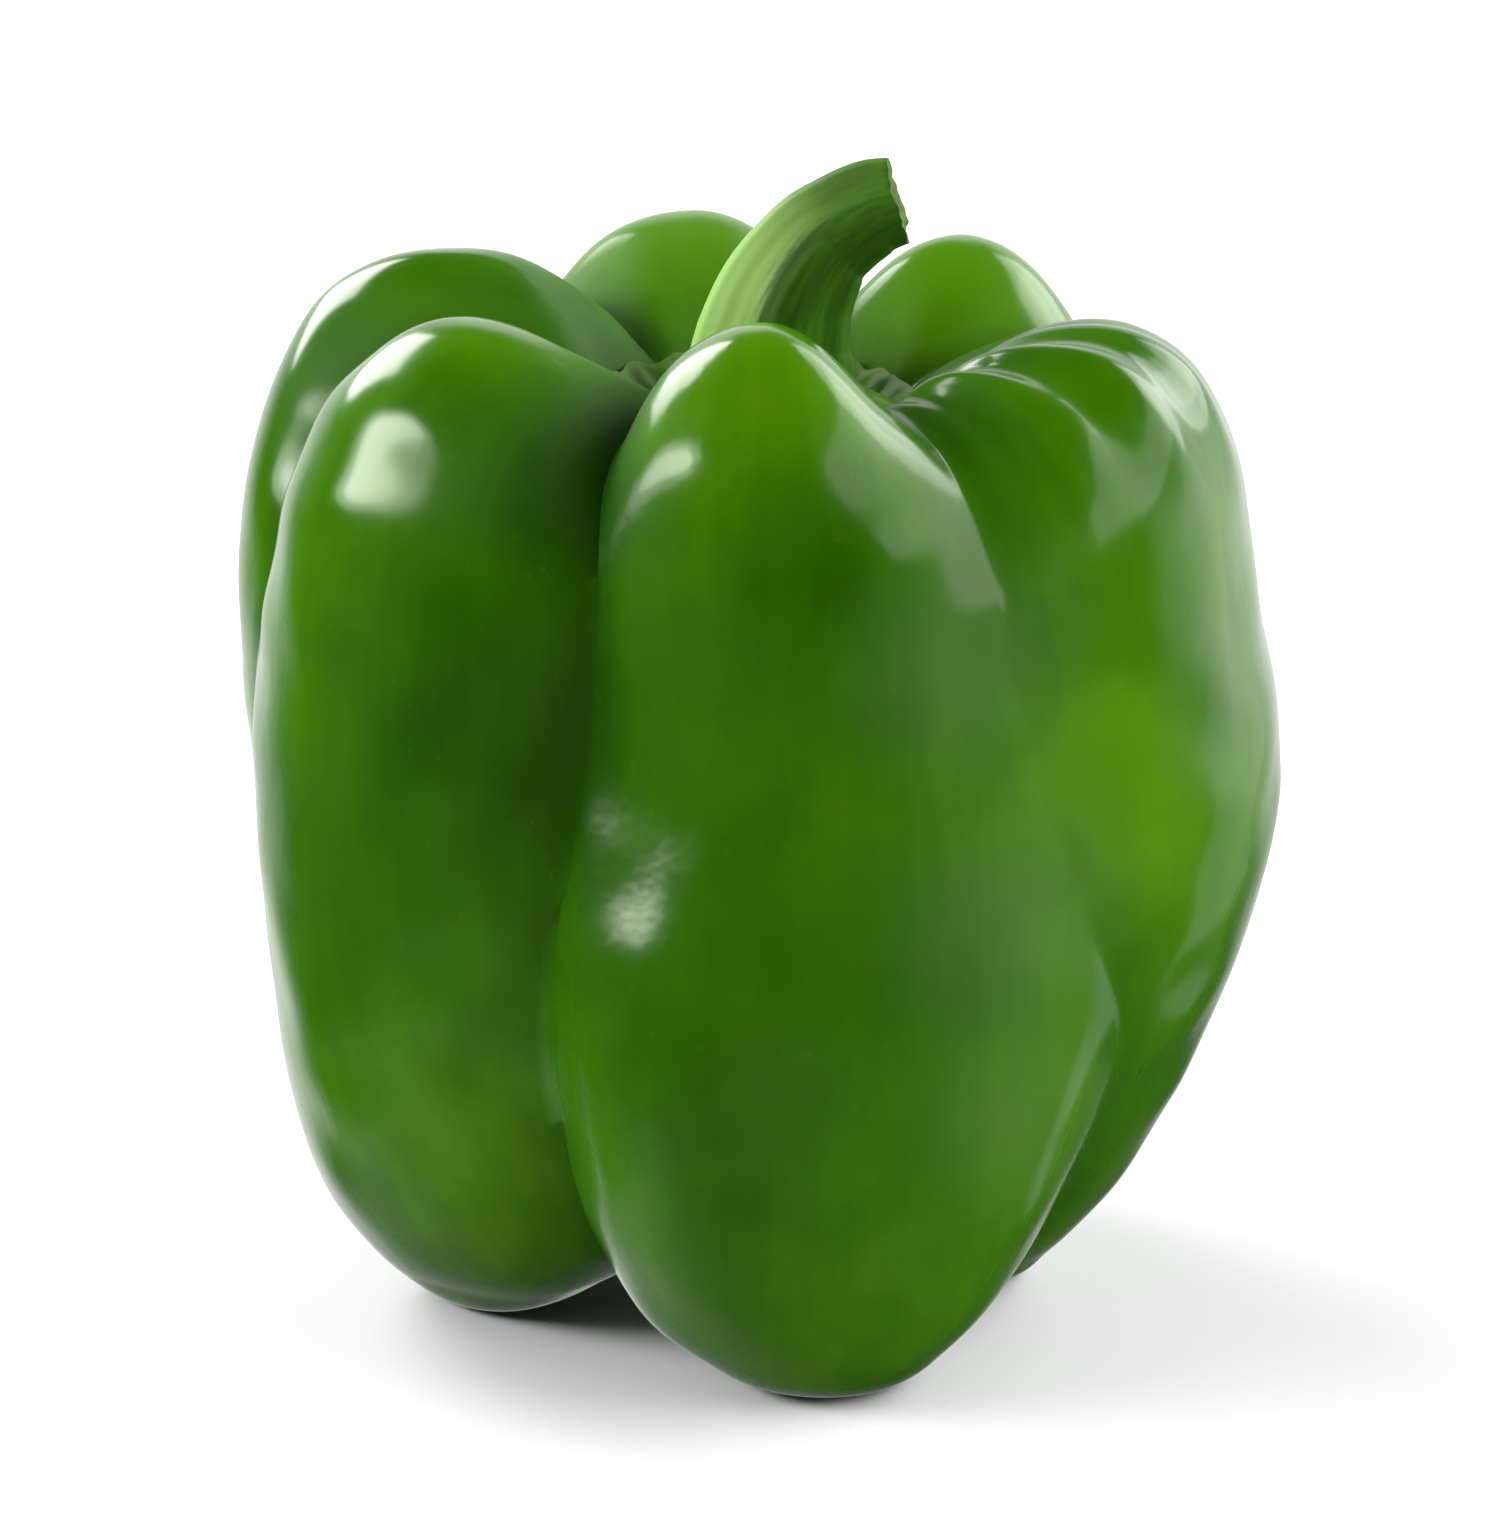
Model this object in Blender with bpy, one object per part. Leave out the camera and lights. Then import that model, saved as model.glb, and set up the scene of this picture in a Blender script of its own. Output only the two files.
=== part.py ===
"""A green bell pepper standing on its lobes: the fruit, the calyx in its stem dish and the cut stem.

The model is in metres with +Z up, and it looks along +Y from the front. The sizes below are in
millimetres, and MM turns them into metres. The fruit's skin is drawn by lines that all start in the
middle of the stem dish, climb to the crown, bend over the shoulder, run down the wall to the foot and
end in the middle of the blossom end. Every second line follows the top of a lobe, and the lines
between them lie in the grooves. The calyx hugs the same lines, and the stem stands on the calyx.
"""
import bmesh
import bpy
import numpy as np
from collections import namedtuple

MM = 0.001

# How a line runs. The three turns are its direction around the axis near the crown, halfway up and at
# the foot, in degrees from +X. Crown, belly and foot are each a distance from the axis and a height.
# Shoulder and taper say how full the curves above and below the belly are, from 0 to 1.
# Edge is how plump a lobe is, from 2 for round to 4 for boxy, or how sharp a groove is, from 0 to 1.
Line = namedtuple(
    "Line", "turn_top turn_mid turn_foot crown_r crown_z belly_r belly_z foot_r foot_z shoulder taper edge"
)
LINES = {
    "front lobe": Line(-90, -90, -76, 23, 87.4, 40.3, 36, 25.5, 0.0, 0.62, 0.66, 2.1),
    "front to left front": Line(-120, -113, -121, 17.5, 79.5, 36, 54, 19, 9, 0.60, 0.58, 1.0),
    "left front lobe": Line(-150, -156, -172, 28, 85.8, 43, 45, 23.5, 0.0, 0.72, 0.63, 2.3),
    "left front to left back": Line(-176, -178, -186, 23, 79, 42, 50, 20, 5, 0.62, 0.62, 0.5),
    "left back lobe": Line(-198, -194, -204, 28, 87.5, 45.6, 52, 24, 2.0, 0.70, 0.64, 2.6),
    "left back to back": Line(-226, -226, -230, 21, 80, 39, 50, 19, 7, 0.60, 0.60, 0.8),
    "back lobe": Line(-257, -256, -255, 26, 87.6, 41, 48, 24, 0.0, 0.60, 0.58, 2.8),
    "back to right back": Line(-287, -280, -278, 20, 78, 37, 46, 19, 6, 0.60, 0.58, 0.6),
    "right back lobe": Line(-310, -306, -300, 26, 86.2, 41, 46, 22, 3.0, 0.60, 0.55, 2.8),
    "right back to right": Line(-336, -334, -328, 22, 79, 38, 46, 17, 7, 0.62, 0.50, 0.7),
    "right lobe": Line(-374, -370, -362, 27, 83.6, 43, 46, 19, 0.0, 0.68, 0.36, 3.2),
    "right to front": Line(-420, -419, -394, 20, 79.5, 39, 46, 21, 8, 0.62, 0.50, 0.5),
}
DISH_FLOOR_Z = 70.0  # the fruit's skin under the stem
BLOSSOM_Z = 9.0  # the hollow in the middle of the blossom end
FOOT_PRESS = 0.7  # how far the fruit's weight flattens its feet
AXIS_X, AXIS_Y = 0.8, 2.0  # where the fruit's axis stands, so that the origin is the middle of the box
CROWN_TURN_Z, UPPER_TURN_Z, LOWER_TURN_Z, FOOT_TURN_Z = 86.0, 66.0, 64.0, 14.0  # heights of the turns
# How full the curves are inside the crown and inside the foot, as shares of the crown's and foot's distance.
DISH_HANDLES, SOLE_HANDLES = (0.55, 0.45), (0.45, 0.50)

# Where the wall stands proud or sinks: a turn and a height, how far it reaches to the left, to the right,
# down and up along the skin, and how far it stands out.
Bump = namedtuple("Bump", "turn height left right down up rise")
BUMPS = {
    "swelling low on the front lobe": Bump(-100, 35, 11, 15, 24, 11, 5.0),
    "waist above the swelling": Bump(-107, 60, 10, 14, 9, 12, -1.2),
    "hollow in the right lobe": Bump(-4, 62, 16, 16, 10, 10, -1.2),
}
WALL_R = 42.0  # a usual distance of the wall from the axis, which turns degrees into millimetres
BUMP_FULL_R = 30.0  # nearer to the axis than this, a bump fades away

# Small folds that run out of the stem dish over the right lobe's shoulder. They start beside a groove and
# get weaker as they go round.
PLEAT_START, PLEAT_END, PLEAT_TOP = -58.0, 8.0, -29.0
PLEAT_WIDTH, PLEAT_RISE, PLEAT_EASE, PLEAT_FADE = 15.0, 0.65, 10.0, 0.6
PLEAT_LOW_Z, PLEAT_HIGH_Z, PLEAT_INNER_R, PLEAT_OUTER_R = 70.0, 80.0, 10.0, 20.0
PLEAT_MIDDLE_R, PLEAT_MIDDLE_Z = 20.0, 60.0  # the point that the folds are pushed away from

COLUMNS_PER_STRETCH = 6  # columns of the mesh between one line and the next
FRUIT_ROWS = (8, 9, 13, 8)  # rows in the dish, the shoulder, the wall and the sole

CALYX_GAP = 0.4
CALYX_RIM, CALYX_MIDDLE = 1.0, 1.4  # thickness at the rim and in the middle
CALYX_REACH, CALYX_TIP, CALYX_TIP_SHARP = 0.48, 0.16, 3.0  # how far it runs up the dish, and its points
CALYX_CAP_Z = 75.7  # the flat top that carries the stem
CALYX_ROWS = 6

STEM_GAP = 0.3
# The stem's middle line and half-width from its base to the cut end.
STEM = (
    (0.2, 0.6, CALYX_CAP_Z + STEM_GAP, 7.6),
    (0.4, 0.4, 78.6, 6.8),
    (0.8, 0.2, 82.0, 6.1),
    (1.9, 0.0, 85.6, 5.4),
    (4.1, -0.2, 89.2, 4.6),
    (6.2, -0.3, 91.0, 4.15),
    (8.6, -0.4, 92.4, 3.85),
    (10.7, -0.5, 93.1, 3.5),
)
STEM_SIDES, STEM_SECTIONS = 20, 14
STEM_RIBS, STEM_RIB_DEPTH, STEM_RIB_TURN = 5, 0.07, 20.0
CUT_DISH_SHARE, CUT_DISH_DEPTH = 0.7, 0.5  # the cut end dries a little hollow

SKIN_GREEN = (0.052, 0.165, 0.004)
CALYX_GREEN = (0.085, 0.20, 0.022)
STEM_GREEN = (0.075, 0.19, 0.018)


def smooth(value, low, high):
    """Rises from 0 at low to 1 at high, with no corner at either end."""
    share = np.clip((value - low) / (high - low), 0.0, 1.0)
    return share * share * (3.0 - 2.0 * share)


def bezier(start, start_handle, end_handle, end, share):
    rest = 1.0 - share
    return (
        rest**3 * start
        + 3.0 * rest**2 * share * start_handle
        + 3.0 * rest * share**2 * end_handle
        + share**3 * end
    )


def skin_columns():
    """The lines, with COLUMNS_PER_STRETCH columns of values from each one to the next, going round."""
    lines = np.array(list(LINES.values()), float)
    following = np.roll(lines, -1, axis=0)
    following[-1, :3] -= 360.0
    columns = []
    for index, (line, after) in enumerate(zip(lines, following)):
        on_lobe = index % 2 == 0
        lobe, groove = (line, after) if on_lobe else (after, line)
        for step in range(COLUMNS_PER_STRETCH):
            share = step / COLUMNS_PER_STRETCH
            height = 1.0 - share if on_lobe else share
            creased = 1.0 - (1.0 - height) ** lobe[-1]
            rounded = height * height * (3.0 - 2.0 * height)
            swell = groove[-1] * creased + (1.0 - groove[-1]) * rounded
            values = groove + (lobe - groove) * swell
            values[:3] = line[:3] + (after[:3] - line[:3]) * share
            values[-1] = height
            columns.append(values)
    return [column[:, None] for column in np.array(columns).T]


def dish_curve(crown_r, crown_z, share):
    """Distance from the axis and height along a line, from the middle of the stem dish to the crown."""
    inner, outer = DISH_HANDLES
    radius = bezier(0.0, crown_r * inner, crown_r * outer, crown_r, share)
    height = bezier(DISH_FLOOR_Z, DISH_FLOOR_Z, crown_z, crown_z, share)
    return radius, height


def turned(height, turn_top, turn_mid, turn_foot):
    """Each line's turn, read at a point's height."""
    upward = smooth(height, UPPER_TURN_Z, CROWN_TURN_Z)
    downward = 1.0 - smooth(height, FOOT_TURN_Z, LOWER_TURN_Z)
    return turn_mid + (turn_top - turn_mid) * upward + (turn_foot - turn_mid) * downward


def placed(radius, height, turn):
    """Points in metres, with the feet pressed flat on the surface they stand on."""
    around = np.radians(turn)
    level = np.maximum(height - FOOT_PRESS, 0.0)
    across = AXIS_X + radius * np.cos(around)
    deep = AXIS_Y + radius * np.sin(around)
    return np.stack([across, deep, level], axis=-1) * MM


def fruit_points():
    """Points of the skin, one row per column of the mesh, from the dish's middle to the blossom end."""
    columns = skin_columns()
    turn_top, turn_mid, turn_foot, crown_r, crown_z, belly_r, belly_z = columns[:7]
    foot_r, foot_z, shoulder, taper = columns[7:11]
    shares = [np.linspace(0.0, 1.0, rows + 1)[None, :] for rows in FRUIT_ROWS]
    dish_r, dish_z = dish_curve(crown_r, crown_z, shares[0][:, :-1])
    over = shares[1][:, :-1]
    shoulder_r = bezier(crown_r, crown_r + shoulder * (belly_r - crown_r), belly_r, belly_r, over)
    shoulder_z = bezier(crown_z, crown_z, belly_z + shoulder * (crown_z - belly_z), belly_z, over)
    down = shares[2][:, :-1]
    wall_r = bezier(belly_r, belly_r, foot_r + taper * (belly_r - foot_r), foot_r, down)
    wall_z = bezier(belly_z, belly_z + taper * (foot_z - belly_z), foot_z, foot_z, down)
    inward = shares[3]
    outer, inner = SOLE_HANDLES
    sole_r = bezier(foot_r, foot_r * outer, foot_r * inner, 0.0, inward)
    sole_z = bezier(foot_z, foot_z, BLOSSOM_Z, BLOSSOM_Z, inward)
    radius = np.concatenate([dish_r, shoulder_r, wall_r, sole_r], axis=1)
    height = np.concatenate([dish_z, shoulder_z, wall_z, sole_z], axis=1)
    turn = turned(height, turn_top, turn_mid, turn_foot)
    radius = bumped(radius, height, turn)
    radius, height = pleated(radius, height, turn)
    return placed(radius, height, turn)


def bumped(radius, height, turn):
    """The distances from the axis with the bumps added."""
    within = np.clip(radius / BUMP_FULL_R, 0.0, 1.0)
    total = radius
    for bump in BUMPS.values():
        away = (turn - bump.turn + 180.0) % 360.0 - 180.0
        around = np.radians(away) * WALL_R / np.where(away < 0.0, bump.left, bump.right)
        upward = (height - bump.height) / np.where(height < bump.height, bump.down, bump.up)
        total = total + bump.rise * np.exp(-around**2 - upward**2) * within
    return total


def pleated(radius, height, turn):
    """The skin pushed out along the folds of the right lobe's shoulder."""
    along = (turn - PLEAT_START) % 360.0
    weaker = (1.0 - np.clip(along / (PLEAT_END - PLEAT_START), 0.0, 1.0)) ** PLEAT_FADE
    on_shoulder = smooth(height, PLEAT_LOW_Z, PLEAT_HIGH_Z) * smooth(radius, PLEAT_INNER_R, PLEAT_OUTER_R)
    wave = np.cos(2.0 * np.pi * (along + PLEAT_START - PLEAT_TOP) / PLEAT_WIDTH)
    push = PLEAT_RISE * wave * smooth(along, 0.0, PLEAT_EASE) * weaker * on_shoulder
    out, up = radius - PLEAT_MIDDLE_R, height - PLEAT_MIDDLE_Z
    reach = np.hypot(out, up) + MM
    return radius + push * out / reach, height + push * up / reach


def calyx_points():
    """Underside from the middle to the rim, then the top from the rim back to the middle."""
    columns = skin_columns()
    turn_top, turn_mid, turn_foot, crown_r, crown_z = columns[:5]
    groove = 1.0 - columns[-1]
    reach = CALYX_REACH + CALYX_TIP * groove**CALYX_TIP_SHARP
    share = np.linspace(0.0, 1.0, CALYX_ROWS)[None, :] * reach
    radius, height = dish_curve(crown_r, crown_z, share)
    slope_r = np.gradient(radius, axis=1)
    slope_z = np.gradient(height, axis=1)
    length = np.hypot(slope_r, slope_z)
    inward, upward = -slope_z / length, slope_r / length
    turn = turned(height, turn_top, turn_mid, turn_foot)
    under = placed(radius + CALYX_GAP * inward, height + CALYX_GAP * upward, turn)
    thick = CALYX_MIDDLE + (CALYX_RIM - CALYX_MIDDLE) * share / reach + CALYX_GAP
    top_r = np.maximum(radius + thick * inward, 0.0)
    top_z = np.maximum(height + thick * upward, CALYX_CAP_Z)
    top = placed(top_r, top_z, turn)
    return np.concatenate([under, top[:, ::-1]], axis=1)


def stem_points():
    """The base's middle, the stem's sections from base to cut end, and the hollow cut face."""
    knots = np.array(STEM)
    before = 2.0 * knots[0] - knots[1]
    after = 2.0 * knots[-1] - knots[-2]
    knots = np.vstack([before, knots, after])
    place = np.linspace(0.0, len(STEM) - 1.0, STEM_SECTIONS)
    index = np.minimum(place.astype(int), len(STEM) - 2)
    share = (place - index)[:, None]
    first, here, there, last = (knots[index + offset] for offset in range(4))
    sections = 0.5 * (
        2.0 * here
        + (there - first) * share
        + (2.0 * first - 5.0 * here + 4.0 * there - last) * share**2
        + (3.0 * here - first - 3.0 * there + last) * share**3
    )
    middle, half_width = sections[:, :3], sections[:, 3]
    heading = np.gradient(middle, axis=0)
    heading /= np.linalg.norm(heading, axis=1, keepdims=True)
    heading[0] = (0.0, 0.0, 1.0)
    side = np.cross(heading, (0.0, 1.0, 0.0))
    side /= np.linalg.norm(side, axis=1, keepdims=True)
    deep = np.cross(heading, side)
    around = np.arange(STEM_SIDES) * 2.0 * np.pi / STEM_SIDES
    rib = 1.0 + STEM_RIB_DEPTH * np.cos(STEM_RIBS * (around - np.radians(STEM_RIB_TURN)))
    across = (np.cos(around) * rib)[:, None, None] * side * half_width[:, None]
    along = (np.sin(around) * rib)[:, None, None] * deep * half_width[:, None]
    outline = middle + across + along
    base = np.broadcast_to(middle[0], (STEM_SIDES, 1, 3))
    floor = middle[-1] - heading[-1] * CUT_DISH_DEPTH
    lip = floor + (outline[:, -1:] - middle[-1]) * CUT_DISH_SHARE
    cut = np.broadcast_to(floor, (STEM_SIDES, 1, 3))
    points = np.concatenate([base, outline, lip, cut], axis=1)
    return (points + (AXIS_X, AXIS_Y, -FOOT_PRESS)) * MM


def plain_material(name, colour, roughness):
    material = bpy.data.materials.new(name)
    material.use_nodes = True
    surface = material.node_tree.nodes["Principled BSDF"]
    surface.inputs["Base Color"].default_value = (*colour, 1.0)
    surface.inputs["Roughness"].default_value = roughness
    surface.inputs["Metallic"].default_value = 0.0
    return material


def closed_body(name, points, material, crease_degrees):
    """A closed body from columns of points that share their first point and their last one."""
    mesh = bpy.data.meshes.new(name)
    sheet = bmesh.new()
    start = sheet.verts.new(points[0, 0])
    end = sheet.verts.new(points[0, -1])
    columns = [[sheet.verts.new(point) for point in column[1:-1]] for column in points]
    for here, there in zip(columns, columns[1:] + columns[:1]):
        sheet.faces.new((start, here[0], there[0]))
        for row in range(len(here) - 1):
            sheet.faces.new((here[row], here[row + 1], there[row + 1], there[row]))
        sheet.faces.new((here[-1], end, there[-1]))
    bmesh.ops.recalc_face_normals(sheet, faces=sheet.faces)
    sheet.to_mesh(mesh)
    sheet.free()
    mesh.shade_smooth()
    mesh.set_sharp_from_angle(angle=np.radians(crease_degrees))
    mesh.materials.append(material)
    piece = bpy.data.objects.new(name, mesh)
    bpy.context.scene.collection.objects.link(piece)
    return piece


for leftover in list(bpy.data.objects):
    bpy.data.objects.remove(leftover)

closed_body("pepper_body", fruit_points(), plain_material("green skin", SKIN_GREEN, 0.24), 80.0)
closed_body("calyx", calyx_points(), plain_material("calyx green", CALYX_GREEN, 0.50), 50.0)
closed_body("stem", stem_points(), plain_material("stem green", STEM_GREEN, 0.45), 50.0)
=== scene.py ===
# %% [markdown]
# # A green bell pepper, lit as in a studio
#
# A bell pepper grows as a ring of swollen lobes around a hollow middle. The skin dips into a dish at
# the top, where the stem stands on a green cap called the calyx, and it tucks in again at the bottom,
# so the fruit stands on the round feet of its lobes. This lesson builds each of those three pieces as
# a mesh, gives each one a finish made of shader nodes, and lights them softly on a pale floor.
#
# The plain solids of the pieces come first. They fix where everything is, and we never move them.

# %% Load the fixed frame
import math
from collections import namedtuple

import bpy
import numpy as np
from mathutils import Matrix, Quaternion, Vector


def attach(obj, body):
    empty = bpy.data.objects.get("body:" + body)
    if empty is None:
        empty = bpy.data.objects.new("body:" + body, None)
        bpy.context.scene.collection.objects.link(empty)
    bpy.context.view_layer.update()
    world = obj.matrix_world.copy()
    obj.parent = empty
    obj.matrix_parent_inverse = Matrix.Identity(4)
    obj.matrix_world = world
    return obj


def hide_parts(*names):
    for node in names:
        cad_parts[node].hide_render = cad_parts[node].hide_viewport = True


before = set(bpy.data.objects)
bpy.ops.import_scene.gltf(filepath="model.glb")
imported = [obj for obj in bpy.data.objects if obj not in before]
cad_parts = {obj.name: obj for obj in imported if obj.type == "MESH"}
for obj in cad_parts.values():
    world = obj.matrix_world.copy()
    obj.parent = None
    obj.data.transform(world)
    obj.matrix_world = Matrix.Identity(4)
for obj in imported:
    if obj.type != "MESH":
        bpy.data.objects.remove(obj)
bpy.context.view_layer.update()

MM = 0.001

# %% [markdown]
# ## The lines that shape the fruit
#
# A lathe can't make a pepper, because no two lobes are alike. A sculpt could, but nobody could read
# it or change it later. So the skin is drawn by twelve lines, one along the top of each lobe and one
# in each groove. Every line starts in the middle of the stem dish, climbs to the crown, bends over
# the shoulder, runs down the wall to the foot, and ends in the middle of the blossom end. The plain
# solid was drawn with the same lines, so the fine skin follows it closely.

# %% Lines along the lobes and in the grooves
# The turns are a line's direction round the axis near the crown, halfway up and at the foot, in
# degrees. Crown, belly and foot are distances from the axis and heights, in millimetres. Shoulder and
# taper say how full the curves above and below the belly are. Edge is how plump a lobe is, from 2 to
# 4, or how sharp a groove is, from 0 to 1.
Line = namedtuple(
    "Line", "turn_top turn_mid turn_foot crown_r crown_z belly_r belly_z foot_r foot_z shoulder taper edge"
)
LINES = {
    "front lobe": Line(-90, -90, -76, 23, 87.4, 40.3, 36, 25.5, 0.0, 0.62, 0.66, 2.1),
    "front to left front": Line(-120, -113, -121, 17.5, 79.5, 36, 54, 19, 9, 0.60, 0.58, 1.0),
    "left front lobe": Line(-150, -156, -172, 28, 85.8, 43, 45, 23.5, 0.0, 0.72, 0.63, 2.3),
    "left front to left back": Line(-176, -178, -186, 23, 79, 42, 50, 20, 5, 0.62, 0.62, 0.5),
    "left back lobe": Line(-198, -194, -204, 28, 87.5, 45.6, 52, 24, 2.0, 0.70, 0.64, 2.6),
    "left back to back": Line(-226, -226, -230, 21, 80, 39, 50, 19, 7, 0.60, 0.60, 0.8),
    "back lobe": Line(-257, -256, -255, 26, 87.6, 41, 48, 24, 0.0, 0.60, 0.58, 2.8),
    "back to right back": Line(-287, -280, -278, 20, 78, 37, 46, 19, 6, 0.60, 0.58, 0.6),
    "right back lobe": Line(-310, -306, -300, 26, 86.2, 41, 46, 22, 3.0, 0.60, 0.55, 2.8),
    "right back to right": Line(-336, -334, -328, 22, 79, 38, 46, 17, 7, 0.62, 0.50, 0.7),
    "right lobe": Line(-374, -370, -362, 27, 83.6, 43, 46, 19, 0.0, 0.68, 0.36, 3.2),
    "right to front": Line(-420, -419, -394, 20, 79.5, 39, 46, 21, 8, 0.62, 0.50, 0.5),
}
DISH_FLOOR_Z, BLOSSOM_Z = 70.0, 9.0
FOOT_PRESS = 0.7
AXIS_X, AXIS_Y = 0.8, 2.0
CROWN_TURN_Z, UPPER_TURN_Z, LOWER_TURN_Z, FOOT_TURN_Z = 86.0, 66.0, 64.0, 14.0
DISH_HANDLES, SOLE_HANDLES = (0.55, 0.45), (0.45, 0.50)
print(len(LINES), "lines,", len(LINES) // 2, "lobes")

# %% [markdown]
# Between two lines the values are blended: a lobe's side falls away slowly at first and then steeply
# into the groove, which is what makes it look blown up from inside. Four cubic Bezier curves then
# carry each column of points through the dish, the shoulder, the wall and the sole.

# %% Blend the lines into columns
COLUMNS_PER_STRETCH = 30


def smooth(value, low, high):
    """Rises from 0 at low to 1 at high, with no corner at either end."""
    share = np.clip((value - low) / (high - low), 0.0, 1.0)
    return share * share * (3.0 - 2.0 * share)


def bezier(start, start_handle, end_handle, end, share):
    rest = 1.0 - share
    return (
        rest**3 * start
        + 3.0 * rest**2 * share * start_handle
        + 3.0 * rest * share**2 * end_handle
        + share**3 * end
    )


def skin_columns():
    """The fields of Line for every column, going round. Edge becomes 1 on a lobe and 0 in a groove."""
    lines = np.array(list(LINES.values()), float)
    following = np.roll(lines, -1, axis=0)
    following[-1, :3] -= 360.0
    columns = []
    for index, (line, after) in enumerate(zip(lines, following)):
        on_lobe = index % 2 == 0
        lobe, groove = (line, after) if on_lobe else (after, line)
        for step in range(COLUMNS_PER_STRETCH):
            share = step / COLUMNS_PER_STRETCH
            height = 1.0 - share if on_lobe else share
            creased = 1.0 - (1.0 - height) ** lobe[-1]
            rounded = height * height * (3.0 - 2.0 * height)
            swell = groove[-1] * creased + (1.0 - groove[-1]) * rounded
            values = groove + (lobe - groove) * swell
            values[:3] = line[:3] + (after[:3] - line[:3]) * share
            values[-1] = height
            columns.append(values)
    return Line(*(column[:, None] for column in np.array(columns).T))


def turned(height, column):
    """A column's direction round the axis at a height, in degrees."""
    upward = smooth(height, UPPER_TURN_Z, CROWN_TURN_Z)
    downward = 1.0 - smooth(height, FOOT_TURN_Z, LOWER_TURN_Z)
    to_top = (column.turn_top - column.turn_mid) * upward
    to_foot = (column.turn_foot - column.turn_mid) * downward
    return column.turn_mid + to_top + to_foot


def dish_curve(column, share):
    """Distance from the axis and height, from the middle of the stem dish to the crown."""
    inner, outer = DISH_HANDLES
    radius = bezier(0.0, column.crown_r * inner, column.crown_r * outer, column.crown_r, share)
    height = bezier(DISH_FLOOR_Z, DISH_FLOOR_Z, column.crown_z, column.crown_z, share)
    return radius, height


def placed(radius, height, turn):
    """Points in metres, with the feet pressed flat on the floor."""
    around = np.radians(turn)
    across = AXIS_X + radius * np.cos(around)
    deep = AXIS_Y + radius * np.sin(around)
    up = np.maximum(height - FOOT_PRESS, 0.0)
    return np.stack([across, deep, up], axis=-1) * MM


COLUMNS = skin_columns()
print("columns round the fruit:", COLUMNS.edge.shape[0])

# %% [markdown]
# ## Bumps, folds and unevenness
#
# A grown skin is never perfectly smooth. The front lobe swells low on its left side under a slight
# waist, and the low bright spot sits where the skin leans back between the two. The plain solid has
# both, with a shallower waist and the swelling a little higher. Over the right lobe's shoulder the skin
# is gathered into small folds that run out of the stem dish, and everywhere it has shallow swells that
# break up a reflection. All are real changes of shape here, so they show from any side, not only in
# the shading.

# %% Bumps, folds and swells
Bump = namedtuple("Bump", "turn height left right down up rise")
BUMPS = {
    "swelling low on the front lobe": Bump(-100, 32, 13, 16, 24, 14, 4.9),
    "waist above the swelling": Bump(-105, 55, 12, 14, 11, 13, -2.2),
    "hollow in the right lobe": Bump(-4, 62, 16, 16, 10, 10, -1.2),
}
WALL_R, BUMP_FULL_R = 42.0, 30.0
PLEAT_START, PLEAT_END, PLEAT_TOP = -58.0, 8.0, -29.0
PLEAT_WIDTH, PLEAT_RISE, PLEAT_EASE, PLEAT_FADE = 15.0, 0.65, 10.0, 0.6
PLEAT_LOW_Z, PLEAT_HIGH_Z, PLEAT_INNER_R, PLEAT_OUTER_R = 70.0, 80.0, 10.0, 20.0
PLEAT_MIDDLE_R, PLEAT_MIDDLE_Z = 20.0, 60.0
SWELLS = ((0.10, 24.0, 7), (0.035, 9.0, 9))  # height and length of the swells in mm, and how many waves
SEED = 11
NEVER_ZERO = 0.001  # in mm, keeps a division possible where a length is nothing


def bumped(radius, height, turn):
    """The distances from the axis with the bumps added."""
    within = np.clip(radius / BUMP_FULL_R, 0.0, 1.0)
    total = radius
    for bump in BUMPS.values():
        away = (turn - bump.turn + 180.0) % 360.0 - 180.0
        around = np.radians(away) * WALL_R / np.where(away < 0.0, bump.left, bump.right)
        upward = (height - bump.height) / np.where(height < bump.height, bump.down, bump.up)
        total = total + bump.rise * np.exp(-around**2 - upward**2) * within
    return total


def pleated(radius, height, turn):
    """The skin pushed out along the folds of the right lobe's shoulder."""
    along = (turn - PLEAT_START) % 360.0
    weaker = (1.0 - np.clip(along / (PLEAT_END - PLEAT_START), 0.0, 1.0)) ** PLEAT_FADE
    on_shoulder = smooth(height, PLEAT_LOW_Z, PLEAT_HIGH_Z) * smooth(radius, PLEAT_INNER_R, PLEAT_OUTER_R)
    wave = np.cos(2.0 * np.pi * (along + PLEAT_START - PLEAT_TOP) / PLEAT_WIDTH)
    push = PLEAT_RISE * wave * smooth(along, 0.0, PLEAT_EASE) * weaker * on_shoulder
    out, up = radius - PLEAT_MIDDLE_R, height - PLEAT_MIDDLE_Z
    reach = np.hypot(out, up) + NEVER_ZERO
    return radius + push * out / reach, height + push * up / reach


def swell(points):
    """How far each point stands proud, in metres, as a sum of waves in many directions."""
    random = np.random.default_rng(SEED)
    total = np.zeros(points.shape[:-1])
    for rise, length, waves in SWELLS:
        for _ in range(waves):
            direction = random.normal(size=3)
            direction *= 2.0 * np.pi / (length * MM * np.linalg.norm(direction))
            total += rise * MM * np.sin(points @ direction + random.uniform(0.0, 2.0 * np.pi))
    return total


# %% [markdown]
# ## A closed mesh from columns
#
# All three pieces are closed bodies made of columns of points that share a first and a last point, as
# the segments of an orange do. One helper turns such columns into a mesh. It also keeps two facts on
# every point that the finishes will read later: how high on its lobe or rib the point is, and its
# place in a rolled-out picture of the skin, which is how streaks can follow the twist of a lobe.

# %% Mesh helper
SMALLEST_LENGTH = 1e-12
SKIN_CREASE = 60.0  # degrees between two faces from which the edge is drawn sharp


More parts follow.
